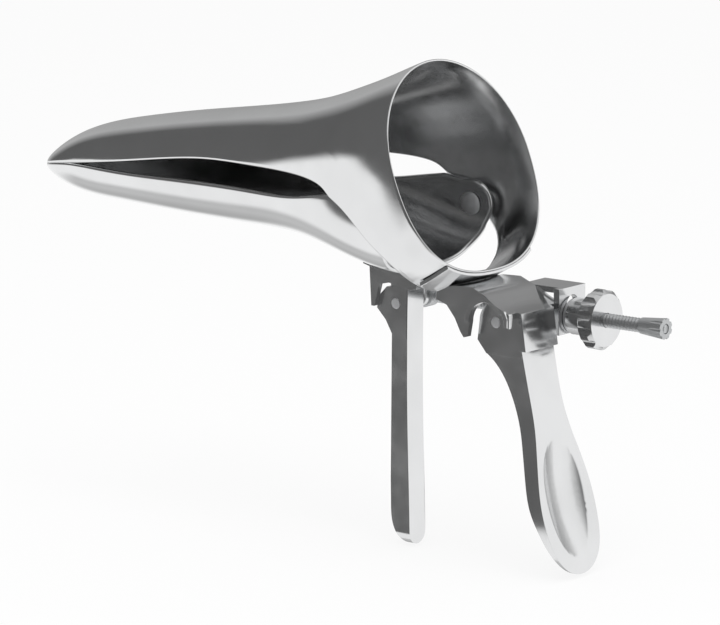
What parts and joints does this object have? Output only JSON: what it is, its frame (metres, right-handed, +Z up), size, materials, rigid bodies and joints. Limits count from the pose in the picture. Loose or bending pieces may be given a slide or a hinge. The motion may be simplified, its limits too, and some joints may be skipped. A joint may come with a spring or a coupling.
{
  "type": "bivalve speculum",
  "caption": "Polished steel bivalve speculum with a round flared mouth, two hinged bills, two squeeze handles and a side locking screw with a knurled thumb nut.",
  "frame": {"origin": "centre of the round mouth, in the plane of its rim", "axes": "+X towards the bill tips, +Z up, away from the handles, +Y to the instrument's left, away from the screw"},
  "size_m": [0.1786, 0.0514, 0.1166],
  "materials": {
    "valve_steel": "polished",
    "handle_steel": "polished",
    "pin_steel": "satin",
    "screw_steel": "satin",
    "nut_steel": "polished"
  },
  "bodies": {
    "lower": {"lower_valve": "valve_steel", "front_saddle": "handle_steel", "front_handle": "handle_steel", "front_pin": "pin_steel", "anchor_lug": "handle_steel", "anchor_pin": "pin_steel"},
    "upper": {"upper_valve": "valve_steel", "near_rivet": "pin_steel", "far_rivet": "pin_steel", "rear_saddle": "handle_steel", "rear_handle": "handle_steel", "rear_pin": "pin_steel", "rod_guide": "handle_steel"},
    "rod": {"threaded_rod": "screw_steel", "rod_stop": "screw_steel"},
    "washer": {"nut_washer": "pin_steel"},
    "nut": {"thumb_nut": "nut_steel"}
  },
  "joints": [
    {"name": "blade_hinge", "type": "hinge", "parent": "lower", "child": "upper", "pos_m": [0.0125, 0, -0.013], "axis": [0, -1, 0], "range_deg": [0, 25]},
    {"name": "rod_swing", "type": "hinge", "parent": "lower", "child": "rod", "pos_m": [0.021, -0.013, -0.0349], "axis": [0, -1, 0], "range_deg": [0, 23]},
    {"name": "nut_travel", "type": "slide", "parent": "rod", "child": "washer", "axis": [-1, 0, 0], "range_m": [0, 0.0091]},
    {"name": "nut_spin", "type": "hinge", "parent": "washer", "child": "nut", "pos_m": [-0.03, -0.013, -0.0349], "axis": [-1, 0, 0], "range_deg": [0, 3600]}
  ],
  "couplings": [
    {"joint": "rod_swing", "follows": "blade_hinge", "ratio": 0.892},
    {"joint": "nut_travel", "follows": "nut_spin", "m_per_rad": 0.00014324}
  ]
}
